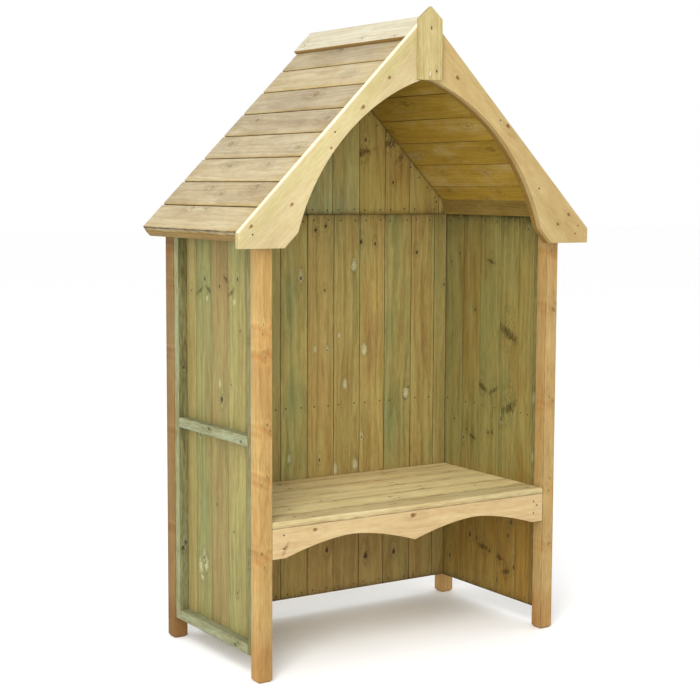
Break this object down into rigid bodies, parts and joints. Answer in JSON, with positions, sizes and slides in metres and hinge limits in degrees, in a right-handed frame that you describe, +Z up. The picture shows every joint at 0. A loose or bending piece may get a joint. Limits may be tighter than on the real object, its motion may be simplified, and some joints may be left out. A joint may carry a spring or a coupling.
{
  "type": "garden arbor seat",
  "caption": "Timber garden arbor with a boarded back and sides, a pitched board roof, arched bargeboards with a pointed finial, and a bench seat over a curved apron.",
  "frame": {"origin": "on the ground under the middle of the overall width and depth", "axes": "+Z up, the open front faces -Y, +X to the right seen from the front"},
  "size_m": [1.3, 0.7, 2.0072],
  "materials": {
    "post_wood": "satin",
    "panel_wood": "satin",
    "batten_wood": "satin",
    "roof_wood": "satin",
    "eave_wood": "satin",
    "front_wood": "satin",
    "seat_wood": "satin",
    "apron_wood": "satin"
  },
  "bodies": {
    "root": {"post_front_left": "post_wood", "post_front_right": "post_wood", "post_rear_left": "post_wood", "post_rear_right": "post_wood", "side_boards_left": "panel_wood", "side_boards_right": "panel_wood", "back_boards": "panel_wood", "gable_boards": "panel_wood", "side_frame_left": "batten_wood", "side_frame_right": "batten_wood", "back_frame": "batten_wood", "gable_frame": "batten_wood", "wall_plate_left": "batten_wood", "wall_plate_right": "batten_wood", "ridge_batten": "batten_wood", "seat_bearer_left": "batten_wood", "seat_bearer_right": "batten_wood", "seat_bearer_back": "batten_wood", "seat_bearer_middle": "batten_wood", "roof_boards_left": "roof_wood", "roof_boards_right": "roof_wood", "ridge_board_left": "roof_wood", "ridge_board_right": "roof_wood", "eave_batten_left": "eave_wood", "eave_batten_right": "eave_wood", "front_rafter_left": "front_wood", "front_rafter_right": "front_wood", "bargeboard_left": "front_wood", "bargeboard_right": "front_wood", "finial": "front_wood", "seat_board_1": "seat_wood", "seat_board_2": "seat_wood", "seat_board_3": "seat_wood", "seat_board_4": "seat_wood", "seat_board_5": "seat_wood", "seat_board_6": "seat_wood", "seat_apron": "apron_wood"}
  },
  "joints": []
}
